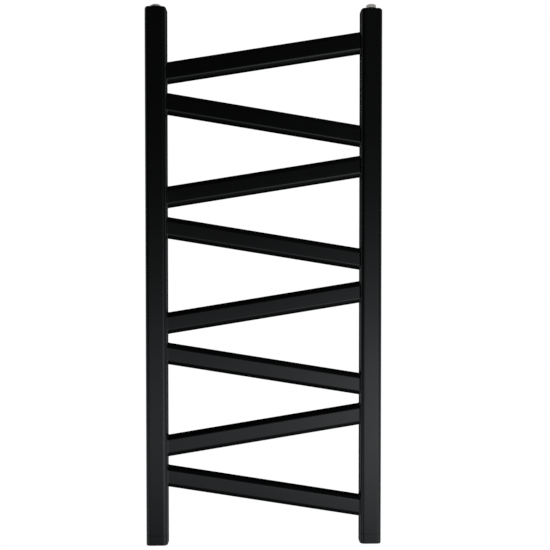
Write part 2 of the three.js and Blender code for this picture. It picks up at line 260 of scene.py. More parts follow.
def smooth(piece, sharp_angle=38):
    """Smooth shading that stays flat on flat faces and breaks at sharp edges."""
    mesh = piece.data
    mesh.polygons.foreach_set("use_smooth", [True] * len(mesh.polygons))
    mesh.set_sharp_from_angle(angle=math.radians(sharp_angle))
    weighted = piece.modifiers.new("weighted_normals", "WEIGHTED_NORMAL")
    weighted.keep_sharp = True


def finish_piece(piece, body, slot, *nodes):
    """Gives a piece its finish and its body, in place of the CAD nodes it stands for."""
    smooth(piece)
    piece.data.materials.clear()
    piece.data.materials.append(MATERIALS[slot])
    if nodes:
        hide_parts(*nodes)
    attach(piece, body)
    return piece


# ---------------------------------------------------------------- materials


def add(tree, kind, inputs=(), **settings):
    """A shader node. An input is a value or another node's output."""
    made = tree.nodes.new("ShaderNode" + kind)
    for name, value in settings.items():
        setattr(made, name, value)
    for name, value in dict(inputs).items():
        if isinstance(value, bpy.types.NodeSocket):
            tree.links.new(value, made.inputs[name])
        else:
            made.inputs[name].default_value = value
    return made


def remap(tree, value, low, high, start=0.3, end=0.7):
    """Value from start to end, mapped to low to high."""
    inputs = {"Value": value, "From Min": start, "From Max": end, "To Min": low, "To Max": high}
    return add(tree, "MapRange", inputs).outputs["Result"]


def mixed(tree, share, first, second, blend="MIX"):
    """A mix of two colours, each a value or an output."""
    node = add(tree, "Mix", data_type="RGBA", blend_type=blend)
    sockets = [node.inputs[0], node.inputs[6], node.inputs[7]]
    for socket, value in zip(sockets, (share, first, second)):
        if isinstance(value, bpy.types.NodeSocket):
            tree.links.new(value, socket)
        else:
            socket.default_value = value
    return node.outputs[2]


def noise_at(tree, coordinates, scale, detail=2.0, rough=0.5):
    inputs = {"Vector": coordinates, "Scale": scale, "Detail": detail, "Roughness": rough}
    return add(tree, "TexNoise", inputs).outputs["Fac"]


def material(name, **constants):
    """A material, its tree, its shader and its object coordinates. Constants go on the shader's sockets."""
    made = bpy.data.materials.new(name)
    made.use_nodes = True
    tree = made.node_tree
    shader = tree.nodes["Principled BSDF"]
    for socket, value in constants.items():
        shader.inputs[socket.replace("_", " ")].default_value = value
    coordinates = add(tree, "TexCoord").outputs["Object"]
    return made, tree, shader, coordinates


def bump(tree, shader, height, distance, strength=1.0, below=None):
    inputs = {"Height": height, "Distance": distance, "Strength": strength}
    if below:
        inputs["Normal"] = below
    normal = add(tree, "Bump", inputs).outputs["Normal"]
    tree.links.new(normal, shader.inputs["Normal"])
    return normal


def powder_coat():
    """Satin black powder coat: orange peel, dust nibs, drifting gloss, and a thin coat along the edges that
    is painted lighter there as a highlight.
    """
    made, tree, shader, at = material("powder_coat", IOR=1.5)
    drift = noise_at(tree, at, 22, detail=3)
    fine = noise_at(tree, at, 900, detail=1)
    edges = add(tree, "NewGeometry").outputs["Pointiness"]
    # Painted highlight: the colour goes lighter along sharp edges, where the coat is also thin.
    edge_highlight = remap(tree, edges, 0, 1, start=0.505, end=0.56)
    colour = mixed(tree, drift, (0.0038, 0.0039, 0.0042, 1), (0.0052, 0.0053, 0.0057, 1))
    colour = mixed(tree, remap(tree, fine, 0, 0.5), colour, (0.0066, 0.0067, 0.0071, 1))
    # The painted highlight: a lighter colour mixed in along the edges.
    colour = mixed(tree, edge_highlight, colour, (0.009, 0.0091, 0.0096, 1))
    tree.links.new(colour, shader.inputs["Base Color"])
    gloss = add(tree, "Math", operation="ADD")
    tree.links.new(remap(tree, drift, 0.155, 0.185), gloss.inputs[0])
    tree.links.new(remap(tree, fine, -0.015, 0.015), gloss.inputs[1])
    tree.links.new(gloss.outputs[0], shader.inputs["Roughness"])
    peel = noise_at(tree, at, 520, detail=1.5, rough=0.4)
    first = bump(tree, shader, peel, 0.00004, strength=0.6)
    cells = add(tree, "TexVoronoi", {"Vector": at, "Scale": 60, "Randomness": 1.0})
    nibs = remap(tree, cells.outputs["Distance"], 1, 0, start=0.0, end=0.03)
    bump(tree, shader, nibs, 0.00004, strength=0.4, below=first)
    return made


def turned_metal(name, bright, dark, rough, marks=2600, **constants):
    """Plated metal with fine turning marks round the piece's own axis."""
    made, tree, shader, at = material(name, Metallic=1.0, **constants)
    split = add(tree, "SeparateXYZ", {"Vector": at})
    flat = add(tree, "CombineXYZ", {"X": split.outputs["X"], "Y": split.outputs["Y"]})
    radius = add(tree, "VectorMath", {0: flat.outputs[0]}, operation="LENGTH")
    rings = add(tree, "CombineXYZ", {"X": radius.outputs["Value"], "Y": split.outputs["Z"]})
    lines = noise_at(tree, rings.outputs[0], marks, detail=2)
    stain = noise_at(tree, at, 180, detail=4, rough=0.6)
    colour = mixed(tree, remap(tree, stain, 0, 1), bright, dark)
    tree.links.new(colour, shader.inputs["Base Color"])
    spread = add(tree, "Math", operation="ADD")
    tree.links.new(remap(tree, stain, rough[0], rough[1]), spread.inputs[0])
    tree.links.new(remap(tree, lines, -0.05, 0.05), spread.inputs[1])
    tree.links.new(spread.outputs[0], shader.inputs["Roughness"])
    bump(tree, shader, lines, 0.00001, strength=0.4)
    return made


def moulded(name, colour, shade, rough, grain=1500, depth=0.00002, **constants):
    """Moulded plastic or rubber: a fine grain, a slight mottle, and high edges that are scuffed and painted
    lighter as a highlight.
    """
    made, tree, shader, at = material(name, **constants)
    mottle = noise_at(tree, at, 240, detail=4, rough=0.6)
    base = mixed(tree, remap(tree, mottle, 0, 1), colour, shade)
    edges = add(tree, "NewGeometry").outputs["Pointiness"]
    # Scuffs and a painted highlight: the high edges are painted lighter.
    scuff_and_highlight = tuple(min(1, 1.25 * channel) for channel in colour[:3]) + (1,)
    base = mixed(tree, remap(tree, edges, 0, 1, start=0.52, end=0.62), base, scuff_and_highlight)
    tree.links.new(base, shader.inputs["Base Color"])
    tree.links.new(remap(tree, mottle, rough[0], rough[1]), shader.inputs["Roughness"])
    bump(tree, shader, noise_at(tree, at, grain, detail=2), depth, strength=0.5)
    return made


MATERIALS = {
    "powder_coat": powder_coat(),
    "nickel_plate": turned_metal(
        "nickel_plate", (0.66, 0.64, 0.6, 1), (0.52, 0.5, 0.47, 1), rough=(0.16, 0.28)
    ),
    "zinc_steel": turned_metal(
        "zinc_steel", (0.5, 0.52, 0.54, 1), (0.46, 0.44, 0.36, 1), rough=(0.26, 0.42), marks=1800
    ),
    "silver_plastic": moulded(
        "silver_plastic", (0.44, 0.44, 0.45, 1), (0.38, 0.38, 0.39, 1), rough=(0.32, 0.44)
    ),
    "seal_rubber": moulded(
        "seal_rubber", (0.018, 0.018, 0.018, 1), (0.027, 0.027, 0.026, 1), rough=(0.62, 0.8), depth=0.00004
    ),
    "plug_nylon": moulded(
        "plug_nylon", (0.26, 0.27, 0.29, 1), (0.21, 0.22, 0.24, 1), rough=(0.42, 0.56), grain=900
    ),
}

# ---------------------------------------------------------------- the welded rack


def rung_centre(number):
    return centre_mm(f"rung_{number}")


def passage_tool(side, x):
    """Cuts the water ways into an upright, one behind each rung."""
    slot = section(PASSAGE["height"], PASSAGE["width"], PASSAGE["width"] / 2 - 0.01, cuts=((), ()))
    vertices, faces = [], []
    for number in range(1, RUNG["count"] + 1):
        centre = rung_centre(number)
        climbs = 1 if number % 2 else -1
        height = centre.z + climbs * RUNG["slope"] * x
        inner = x - side * UPRIGHT["width"] / 2
        ends = (inner - side * PASSAGE["reach"] / 4, inner + side * PASSAGE["reach"])
        rings = [[(end, centre.y + b, height + a) for a, b in slot] for end in ends]
        ring_vertices, ring_faces = loft(rings)
        faces += [tuple(index + len(vertices) for index in face) for face in ring_faces]
        vertices += ring_vertices
    return new_object("passage_tool", (vertices, faces))


def upright(word, side):
    """A steel tube with round corners, open to the rungs and to the bosses of the brackets."""
    node = f"{word}_upright"
    low, high = box_mm(node)
    centre = (low + high) / 2
    foot, top = low.z - SEAM, high.z + SEAM
    outer = (UPRIGHT["width"], UPRIGHT["depth"], UPRIGHT["corner"])
    wall = UPRIGHT["wall"]
    inner = (UPRIGHT["width"] - 2 * wall, UPRIGHT["depth"] - 2 * wall, UPRIGHT["corner"] - wall)
    rings = [
        at_height(section(*outer, inset=SEAM_EDGE), foot),
        at_height(section(*outer), foot + SEAM_EDGE),
        at_height(section(*outer), top - SEAM_EDGE),
        at_height(section(*outer, inset=SEAM_EDGE), top),
        at_height(section(*inner), top),
        at_height(section(*inner), foot),
    ]
    tube = new_object(f"{word}_upright_tube", loft(rings, looped=True), (centre.x, centre.y, 0))
    carve(tube, passage_tool(side, centre.x))
    for level in ("lower", "upper"):
        height = centre_mm(f"{level}_{word}_boss").z
        radius, near, far = BOSS["radius"] + 0.3, BOSS["foot"] - 2, BOSS["foot"] + 6
        hole = [(0, near), (radius, near), (radius, far), (0, far)]
        carve(tube, new_object("hole_tool", lathe(hole), (centre.x, 0, height), (QUARTER, 0, 0)))
    return finish_piece(tube, "rack", "powder_coat", node)


def weld_offsets():
    """How far the weld stands out from the rung, and how far it is from the upright, from rung to upright."""
    size = WELD["size"]
    angles = [step / WELD["steps"] * QUARTER for step in range(WELD["steps"] + 1)]
    return [(size * (1 - math.cos(angle)), size * (1 - math.sin(angle))) for angle in angles]


def upright_recess(y):
    """How far an upright's side has curved away at a distance y from its centre plane."""
    beyond = abs(y) - (UPRIGHT["depth"] / 2 - UPRIGHT["corner"])
    if beyond <= 0:
        return 0
    beyond = min(beyond, UPRIGHT["corner"] * 0.98)
    return UPRIGHT["corner"] - math.sqrt(UPRIGHT["corner"] ** 2 - beyond**2)


def rung_ring(x, offset, slope, ripples=None, wall=0.0):
    """One upright cut through a rung, in its own frame: offset out from its skin, or in by the wall."""
    size = (RUNG["depth"], RUNG["height"], RUNG["corner"])
    cuts = ((0.5,), [share / 30 for share in range(1, 30)])
    points = section(*size, inset=wall - offset, steps=RUNG_STEPS, cuts=cuts)
    ring = []
    for index, (y, z) in enumerate(points):
        if ripples and offset > 0:
            base = Vector(points[index]).normalized()
            share = ripples(index / len(points), x)
            y, z = y + base.x * share * offset, z + base.y * share * offset
        here = x + math.copysign(upright_recess(y), x) if wall == 0 else x
        ring.append((here, y, z * math.hypot(1, slope) + slope * here))
    return ring


def weld_ripples(number):
    """How the weld round a rung's end varies: laid ripples, and a hand's slow drift in its width."""
    around = 2 * (RUNG["height"] + RUNG["depth"]) - 8 * RUNG["corner"] + FULL * RUNG["corner"]
    count = round(around / WELD["ripple"])

    def ripples(share, x):
        angle = FULL * share
        seed = Vector((2 * math.cos(angle), 2 * math.sin(angle), 7.3 * number + math.copysign(2.1, x)))
        wave = WELD["ripple_depth"] * math.sin(count * angle)
        return wave + WELD["drift"] * noise.noise(seed)

    return ripples


def rung(number):
    """A slanted rung, welded to the sides of the uprights all round."""
    node = f"rung_{number}"
    centre = rung_centre(number)
    slope = RUNG["slope"] if number % 2 else -RUNG["slope"]
    reach = centre_mm("right_upright").x - UPRIGHT["width"] / 2
    ripples = weld_ripples(number)
    left = [rung_ring(gap - reach, out, slope, ripples) for out, gap in reversed(weld_offsets())]
    right = [rung_ring(reach - gap, out, slope, ripples) for out, gap in weld_offsets()]
    size, end = WELD["size"], reach + WELD["sunk"]
    rings = [rung_ring(-end, size, slope, ripples), *left, *right, rung_ring(end, size, slope, ripples)]
    rings += [rung_ring(x, 0, slope, wall=RUNG["wall"]) for x in (end, -end)]
    made = new_object(f"slanted_rung_{number}", loft(rings, looped=True), (0, centre.y, centre.z))
    return finish_piece(made, "rack", "powder_coat", node)


def spigot_rings(foot, top):
    size = (SPIGOT["width"], SPIGOT["depth"], SPIGOT["corner"])
    edge = SPIGOT["edge"]
    away = 1 if top > foot else -1
    return [
        at_height(section(*size), foot),
        at_height(section(*size), top - away * edge),
        at_height(section(*size, inset=edge), top),
    ]


def top_cap(word):
    """A rounded cap, bored for a fitting, on a spigot that goes into the upright."""
    node = f"{word}_top_cap"
    low, high = box_mm(node)
    centre = (low + high) / 2
    size = (UPRIGHT["width"], UPRIGHT["depth"], UPRIGHT["corner"])
    foot = high.z - CAP["height"] - SEAM
    rings = [at_height(section(*size, inset=SEAM_EDGE), foot), at_height(section(*size), foot + SEAM_EDGE)]
    for step in range(11):
        angle = step / 10 * QUARTER
        inset = CAP["rounding"] * (1 - math.cos(angle))
        height = high.z - CAP["rounding"] * (1 - math.sin(angle))
        rings.append(at_height(section(*size, inset=inset), height))
    flat = section(*size, inset=CAP["rounding"])
    bore, sink = CAP["bore"], CAP["countersink"]
    rings.append(at_height(circle_facing(flat, bore + sink), high.z))
    rings.append(at_height(circle_facing(flat, bore), high.z - sink))
    rings.append(at_height(circle_facing(flat, bore), low.z))
    rings += reversed(spigot_rings(foot, low.z))
    made = new_object(f"{word}_rounded_cap", loft(rings, looped=True), (centre.x, centre.y, 0))
    return finish_piece(made, "rack", "powder_coat", node)


def pipe_end(word):
    """The lower end of an upright, with a threaded socket for a pipe."""
    node = f"{word}_pipe_end"
    low, high = box_mm(node)
    centre = (low + high) / 2
    size = (UPRIGHT["width"], UPRIGHT["depth"], UPRIGHT["corner"])
    shoulder = low.z + PIPE_END["height"] + SEAM
    edge, crest, pitch = PIPE_END["edge"], PIPE_END["crest"], PIPE_END["pitch"]
    rings = [
        at_height(section(*size, inset=SEAM_EDGE), shoulder),
        at_height(section(*size), shoulder - SEAM_EDGE),
    ]
    for step in range(5):
        angle = step / 4 * QUARTER
        inset = edge * (1 - math.cos(angle))
        rings.append(at_height(section(*size, inset=inset), low.z + edge * (1 - math.sin(angle))))
    face = section(*size, inset=edge)
    rings.append(at_height(circle_facing(face, PIPE_END["mouth"]), low.z))
    start, end = low.z + PIPE_END["mouth"] - crest, high.z - PIPE_END["runout"]
    wind = thread(crest - PIPE_END["depth"], crest, pitch, start, end, inside=True)
    turns = [math.atan2(y, x) for x, y in face]
    for height in rows(start, end, pitch):
        ring = [(wind(crest, height, turn), turn) for turn in turns]
        rings.append([(reach * math.cos(turn), reach * math.sin(turn), height) for reach, turn in ring])
    rings.append(at_height(circle_facing(face, crest), high.z))
    rings += reversed(spigot_rings(shoulder, high.z))
    made = new_object(f"{word}_pipe_socket", loft(rings, looped=True), (centre.x, centre.y, 0))
    return finish_piece(made, "rack", "powder_coat", node)


# ---------------------------------------------------------------- fittings on the caps


def cap_top(word):
    low, high = box_mm(f"{word}_top_cap")
    centre = (low + high) / 2
    return (centre.x, centre.y, high.z)


def seal(name, node, word):
    ring = [
        (SEAL["inner"], SEAL["foot"]),
        (SEAL["outer"], SEAL["foot"]),
        (SEAL["outer"], SEAL["top"]),
        (SEAL["inner"], SEAL["top"]),
    ]
    made = new_object(name, lathe(eased(ring, 0.35)), cap_top(word))
    return finish_piece(made, "rack", "seal_rubber", node)


def stem_rows():
    """The threaded stem of a fitting, from its foot up to the flange."""
    low, high = STEM["foot"] + 0.5, FLANGE["foot"] - 0.4
    return [(STEM["crest"], height) for height in rows(low, high, STEM["pitch"])]


def stem_thread():
    return thread(STEM["root"], STEM["crest"], STEM["pitch"], STEM["foot"], FLANGE["foot"])


def vent_body():
    """The vent's brass body, nickel plated: threaded stem, flange, and a neck that the spout turns on."""
    seat = [
        (VENT["neck"], FLANGE["top"]),
        (VENT["neck"], VENT["neck_top"]),
        (VENT["bore"], VENT["neck_top"]),
        (VENT["bore"], VENT["seat_top"]),
        (VENT["seat"], VENT["seat_top"] - VENT["seat_depth"]),
        (VENT["seat"], STEM["foot"]),
        (STEM["root"], STEM["foot"]),
    ]
    rim = [(FLANGE["radius"], FLANGE["foot"]), (FLANGE["radius"], FLANGE["top"])]
    corners = eased([(STEM["crest"], FLANGE["foot"]), *rim, *seat], 0.25)
    made = new_object("vent_fitting", lathe([*corners, *stem_rows()], stem_thread()), cap_top("left"))
    carve(made, sideways_drill("port_tool", VENT["neck"] + 2))
    return finish_piece(made, "rack", "nickel_plate", "vent_body")


def spout_middle():
    """The point on the vent's axis that is level with the middle of the spout."""
    x, y, z = cap_top("left")
    return (x, y, z + (SPOUT["foot"] + SPOUT["top"]) / 2)


def sideways_drill(name, reach):
    """Cuts the water hole from the vent's axis to the left."""
    radius = NOZZLE["hole"]
    drill = lathe([(0, 0), (radius, 0), (radius, reach), (0, reach)], sides=32)
    return new_object(name, drill, spout_middle(), (0, -QUARTER, 0))


def vent_spout():
    """The ring that turns on the vent's neck, ribbed for the fingers, with its small flat outlet."""
    bevel = SPOUT["bevel"]
    ring = [
        (SPOUT["inner"], SPOUT["foot"]),
        (SPOUT["outer"], SPOUT["foot"]),
        (SPOUT["outer"], SPOUT["top"] - bevel),
        (SPOUT["outer"] - 2 * bevel, SPOUT["top"]),
        (SPOUT["inner"], SPOUT["top"]),
    ]

    def grips(radius, height, turn):
        if radius < SPOUT["outer"] - bevel:
            return radius
        return radius - SPOUT["grip_depth"] * (0.5 + 0.5 * math.cos(SPOUT["grips"] * turn)) ** 2

    made = new_object("turning_spout", lathe(eased(ring, 0.2), grips, sides=240), cap_top("left"))
    radius, reach = NOZZLE["radius"], NOZZLE["reach"]
    tip = [(0, NOZZLE["start"]), (radius, NOZZLE["start"]), (radius, reach), (0, reach)]
    vertices, faces = lathe(eased(tip, 0.3), sides=48)
    flattened = [(NOZZLE["flatness"] * a, b, c) for a, b, c in vertices]
    nozzle = new_object("nozzle_tool", (flattened, faces), spout_middle(), (0, -QUARTER, 0))
    carve(made, nozzle, "UNION")
    carve(made, sideways_drill("outlet_tool", reach + 2))
    return finish_piece(made, "vent_spout", "silver_plastic", "vent_spout")


def bleed_screw():
    """The slotted screw that closes the vent."""
    tip = VENT["seat_top"] + 0.3
    slim = BLEED["stem"] - VENT["seat"]
    outline = [
        (0, tip),
        (VENT["seat"], tip),
        (BLEED["stem"], tip + slim),
        (BLEED["stem"], BLEED["foot"]),
        (BLEED["head"], BLEED["foot"]),
        (BLEED["head"], BLEED["foot"] + BLEED["rim"]),
        (BLEED["head"] - BLEED["bevel"], BLEED["top"]),
        (0, BLEED["top"]),
    ]
    made = new_object("slotted_bleed_screw", lathe(eased(outline, 0.25)), cap_top("left"))
    half, ease, reach = SLOT["width"] / 2, SLOT["ease"], BLEED["head"] + 2
    floor, over = BLEED["top"] - SLOT["depth"], BLEED["top"] + 1
    groove = [(half, over), (half, floor + ease), (half - ease, floor)]
    groove += [(ease - half, floor), (-half, floor + ease), (-half, over)]
    rings = [[(end, a, b) for a, b in groove] for end in (-reach, reach)]
    carve(made, new_object("slot_tool", loft(rings), cap_top("left")))
    return finish_piece(made, "bleed_screw", "nickel_plate", "bleed_screw")


def hex_plug():
    """The plug that closes the other cap: a hexagon head with a turned chamfer, on a flange."""
    flats, top, chamfer, dish = PLUG["across_flats"], PLUG["top"], PLUG["chamfer"], PLUG["dish"]
    corner = flats / math.sqrt(3)
    cone = corner - flats / 2 + 0.4
    head = [(corner, FLANGE["top"])]
    head += [(corner, top - chamfer - 0.3)]
    head += [(corner - cone * step / 8, top - chamfer * (1 - step / 8)) for step in range(9)]
    lip = [(FLANGE["radius"], FLANGE["foot"]), (FLANGE["radius"], FLANGE["top"])]
    outline = [(0, STEM["foot"]), (STEM["root"], STEM["foot"]), *stem_rows()]
    outline += eased([(STEM["crest"], FLANGE["foot"]), *lip, (STEM["crest"], FLANGE["top"])], 0.25)
    rim = flats / 2 - PLUG["land"]
    outline += [*head, (rim, top), (rim - 0.6, top - dish), (0, top - dish)]
    wind = stem_thread()

    def shape(radius, height, turn):
        if height >= FLANGE["top"] and radius > flats / 2 - 0.5:
            return min(radius, hexagon(flats, turn))
        return wind(radius, height, turn)

    made = new_object("hex_plug", lathe(outline, shape, sides=144), cap_top("right"))
    return finish_piece(made, "rack", "nickel_plate", "blanking_plug")


# ---------------------------------------------------------------- brackets


def on_axis(name, skin, corner):
    """A bracket piece, made along +Z from the wall and turned to point into the room."""
    centre = centre_mm(f"{corner}_sleeve")
    return new_object(f"{corner}_{name}", skin, (centre.x, 0, centre.z), (QUARTER, 0, 0))


def boss(corner):
    foot, top = BOSS["foot"], BOSS["foot"] + BOSS["length"]
    outline = [
        (0, foot + BOSS["bore_depth"]),
        (BOSS["bore"], foot + BOSS["bore_depth"]),
        (BOSS["bore"], foot),
        (BOSS["radius"], foot),
        (BOSS["radius"], top),
        (0, top),
    ]
    made = on_axis("threaded_boss", lathe(eased(outline, 0.4)), corner)
    return finish_piece(made, "rack", "zinc_steel", f"{corner}_boss")


def boss_weld(corner):
    """The painted weld bead between a boss and the back of the upright."""
    inner, outer, height = BOSS_WELD["inner"], BOSS_WELD["outer"], BOSS_WELD["height"]
    foot, sunk = BOSS["foot"], BOSS["foot"] + BOSS_WELD["sunk"]
    crown = [(inner, sunk), (inner, foot - 0.6 * height)]
    for step in range(1, 8):
        share = step / 8
        crown.append((inner + (outer - inner) * share, foot - height * math.cos(share * QUARTER) ** 0.7))
    crown += [(outer, foot), (outer, sunk)]

    def ripple(radius, height, turn):
        share = (radius - inner) / (outer - inner)
        return radius + BOSS_WELD["ripple_depth"] * share * math.sin(BOSS_WELD["ripples"] * turn)

    made = on_axis("boss_weld", lathe(crown, ripple, sides=176), corner)
    return finish_piece(made, "rack", "powder_coat")


def pin(corner):
    """The stud that slides in the sleeve, with a collar that has two spanner flats."""
    top, collar_foot = PIN["collar_top"], PIN["collar_foot"]
    crest, thread_top = PIN_THREAD["crest"], PIN_THREAD["top"]
    shank = eased(
        [
            (0, PIN["end"]),
            (PIN["radius"], PIN["end"]),
            (PIN["radius"], collar_foot),
            (PIN["collar"], collar_foot),
            (PIN["collar"], top),
            (crest, top),
        ],
        0.4,
    )
    wind = thread(PIN_THREAD["root"], crest, PIN_THREAD["pitch"], top + 0.2, thread_top)
    tail = [(crest, height) for height in rows(top + 0.5, thread_top - 0.6, PIN_THREAD["pitch"])]
    tail += [(PIN_THREAD["root"], thread_top), (0, thread_top)]

    def shape(radius, height, turn):
        if radius > PIN["radius"] + 0.5:
            return min(radius, PIN["flats"] / 2 / max(abs(math.cos(turn)), 0.01))
        return wind(radius, height, turn)

    made = on_axis("sliding_stud", lathe([*shank[:-1], *tail], shape), corner)
    return finish_piece(made, "rack", "zinc_steel", f"{corner}_pin")


def sleeve(corner):
    """The tube that is screwed to the wall, with a foot and a threaded hole for the grub screw."""
    outline = [
        (SLEEVE["screw_hole"], FOOT_RECESS["depth"]),
        (FOOT_RECESS["radius"], FOOT_RECESS["depth"]),
        (FOOT_RECESS["radius"], 0),
        (SLEEVE["flange"], 0),
        (SLEEVE["flange"], SLEEVE["floor"]),
        (SLEEVE["radius"], SLEEVE["floor"]),
        (SLEEVE["radius"], SLEEVE["length"]),
        (SLEEVE["bore"], SLEEVE["length"]),
        (SLEEVE["bore"], SLEEVE["floor"]),
        (SLEEVE["screw_hole"], SLEEVE["floor"]),
    ]
    made = on_axis("tube_sleeve", lathe(eased(outline, 0.4)), corner)
    radius = GRUB["radius"] + 0.15
    hole = [(0, 0), (radius, 0), (radius, SLEEVE["radius"] + 2), (0, SLEEVE["radius"] + 2)]
    centre = centre_mm(f"{corner}_sleeve")
    place = (centre.x, -GRUB["height"], centre.z)
    carve(made, new_object("grub_hole_tool", lathe(hole, sides=48), place, (math.pi, 0, 0)))
    return finish_piece(made, "wall_side", "powder_coat", f"{corner}_sleeve")


def cover(corner):
    """The shallow cup that slides along the sleeve and hides its foot."""
    outline = [
        (COVER["recess"], 0),
        (COVER["radius"], 0),
        (COVER["radius"], COVER["height"]),
        (COVER["hole"], COVER["height"]),
        (COVER["hole"], COVER["height"] - COVER["top"]),
        (COVER["recess"], COVER["height"] - COVER["top"]),
    ]
    made = on_axis("slip_cover", lathe(eased(outline, 0.9, steps=6)), corner)
    return finish_piece(made, f"{corner}_cover", "powder_coat", f"{corner}_cover")


def socketed(socket, wind):
    """A shape for lathe() that adds a hexagon socket to a threaded screw."""
    half, foot = socket["across_flats"] / 2, socket["foot"]

    def shape(radius, height, turn):
        if 0 < radius <= half and height >= foot:
            radius = radius / half * hexagon(socket["across_flats"], turn)
        return wind(radius, height, turn)

    return shape


def grub_screw(corner):
    """The socket screw that clamps the pin, up from below through the sleeve's wall."""
    foot, top, radius, root = GRUB["foot"], GRUB["top"], GRUB["radius"], GRUB["root"]
    flats, hollow = GRUB_SOCKET["across_flats"] / 2, GRUB_SOCKET["foot"]
    body = [(0, foot), (root - 0.2, foot), (root, foot + 0.25)]
    body += [(radius, height) for height in rows(foot + 0.3, top - 0.3, GRUB["pitch"])]
    body += [(root, top), (flats + 0.15, top), (flats, top - 0.12), (flats, hollow), (0, hollow - 0.4)]
    wind = thread(root, radius, GRUB["pitch"], foot + 0.2, top - 0.2)
    skin = lathe(body, socketed(GRUB_SOCKET, wind))
    centre = centre_mm(f"{corner}_sleeve")
    made = new_object(f"{corner}_set_screw", skin, (centre.x, -GRUB["height"], centre.z), (math.pi, 0, 0))
    return finish_piece(made, f"{corner}_grub_screw", "zinc_steel", f"{corner}_grub_screw")


def wall_screw(corner):
    """The screw that holds the sleeve to the wall."""
    head, foot, top, end = (WALL_SCREW[key] for key in ("head", "foot", "top", "end"))
    root, crest, pitch = WOOD_THREAD["root"], WOOD_THREAD["crest"], WOOD_THREAD["pitch"]
    thread_foot, thread_top = WOOD_THREAD["foot"], WOOD_THREAD["top"]
    flats, hollow = WALL_SCREW_SOCKET["across_flats"] / 2, WALL_SCREW_SOCKET["foot"]
    outline = [(0, end), (0.5, end + 1), (root, thread_foot - 0.4)]
    outline += [(crest, height) for height in rows(thread_foot, thread_top, pitch)]
    neck = eased([(crest, thread_top + 0.5), (crest, foot), (head, foot), (head, top - 0.1)], 0.3)
    outline += neck[5:-5]  # only the two corners under the head
    for angle in (0, 0.4, 0.8, 1.2, QUARTER):
        inset = WALL_SCREW["dome"] * (1 - math.cos(angle))
        outline.append((head - inset, top - WALL_SCREW["dome"] * (1 - math.sin(angle))))
    outline += [(flats + 0.25, top), (flats, top - 0.2), (flats, hollow), (0, hollow - 0.5)]
    wind = thread(root, crest, pitch, thread_foot, thread_top)
    made = on_axis("plated_screw", lathe(outline, socketed(WALL_SCREW_SOCKET, wind)), corner)
    return finish_piece(made, "wall_side", "zinc_steel", f"{corner}_wall_screw")


def wall_plug(corner):
    """The ribbed plug that the screw spreads in the wall: saw teeth, four slots and two fins."""
    radius, root, bore = WALL_PLUG["radius"], WALL_PLUG["root"], WALL_PLUG["bore"]
    mouth, end = WALL_PLUG["mouth"], WALL_PLUG["end"]
    smooth_foot, tip_top = mouth - PLUG_COLLAR["length"], end + 4
    pitch = (smooth_foot - tip_top) / WALL_PLUG["teeth"]
    outline = [(bore - 0.6, end), (WALL_PLUG["tip"], end), (root, tip_top)]
    for tooth in range(WALL_PLUG["teeth"]):
        foot = tip_top + tooth * pitch
        outline += [(root, foot + 0.1), (radius, foot + 0.8 * pitch), (radius, foot + 0.95 * pitch)]
        outline += [(root, foot + pitch)]
    outline += [(radius, smooth_foot + 0.2), (radius, mouth - 0.4), (radius - 0.3, mouth)]
    outline += [(bore + 0.3, mouth), (bore, mouth - 0.4), (bore, smooth_foot)]

    def shape(r, height, turn):
        if r < root - 0.5:
            return r
        if height < smooth_foot:
            away = abs((turn + QUARTER / 2) % QUARTER - QUARTER / 2) / PLUG_SLOT["half_angle"]
            return r - PLUG_SLOT["depth"] * math.sqrt(1 - away**2) if away < 1 else r
        from_fin = abs((turn + QUARTER) % math.pi - QUARTER)
        beside = PLUG_COLLAR["fin"] < from_fin < PLUG_COLLAR["beside"]
        return r - PLUG_COLLAR["fin_height"] if beside else r

    made = on_axis("nylon_plug", lathe(outline, shape, sides=120), corner)
    return finish_piece(made, "wall_side", "plug_nylon", f"{corner}_wall_plug")


# ---------------------------------------------------------------- camera, floor and light


def camera():
    """The photograph's view: close, almost in the middle in front, and level with the middle of the rack."""
    data = bpy.data.cameras.new("camera")
    data.sensor_width = 36
    data.lens = 46.94
    made = bpy.data.objects.new("camera", data)
    made.location = (-0.0122, -1.4, 0.5327)
    made.rotation_euler = (QUARTER - 0.021, 0, -0.0245)
    bpy.context.scene.collection.objects.link(made)
    bpy.context.scene.camera = made


def pale_floor():
    """A pale floor below the rack. The rack doesn't reflect it: studio() gives what lies low."""
    side, front, back, height = 4000, -5000, 1150, -350
    vertices = [(-side, front, 0), (side, front, 0), (side, back, 0), (-side, back, 0)]
    made = new_object("floor", (vertices, [(0, 1, 2, 3)]), (0, 0, height))
    surface, tree, shader, at = material("pale_floor", Roughness=0.9)
    mottle = noise_at(tree, at, 3, detail=3)
    tone = mixed(tree, mottle, (0.84, 0.84, 0.84, 1), (0.88, 0.88, 0.88, 1))
    tree.links.new(tone, shader.inputs["Base Color"])
    shader.inputs["Emission Color"].default_value = (1, 1, 1, 1)
    shader.inputs["Emission Strength"].default_value = 0.94
    made.data.materials.append(surface)
    made.visible_glossy = False
    made.visible_diffuse = False


# The studio as the rack reflects it. BAND is the light in front by elevation in degrees, and SWEEP is how
# strong it is from left to right, by azimuth in degrees from straight in front. The others are brightnesses.
BAND = [
    (-60, 0.06),
    (-42, 0.08),
    (-22, 0.22),
    (-14.7, 0.67),
    (-7.4, 0.47),
    (-3.6, 0.25),
    (1.1, 0.13),
    (5.8, 0.055),
    (12, 0.03),
    (60, 0.02),
]
SWEEP = [
    (-90, 0.5),
    (-62, 0.1),
    (-36, 0.12),
    (-20, 0.55),
    (-7.7, 0.98),
    (1.7, 1.2),
    (11, 2.3),
    (23, 2.15),
    (44, 0.9),
    (68, 0.4),
    (90, 1),
]
SIDES = 1  # the panels low down at both sides, in front and behind
FLANKS = 0.55  # the narrow upright panels straight to the left and right
BACK = 0.65  # the panels behind, to the left and right of a dark middle


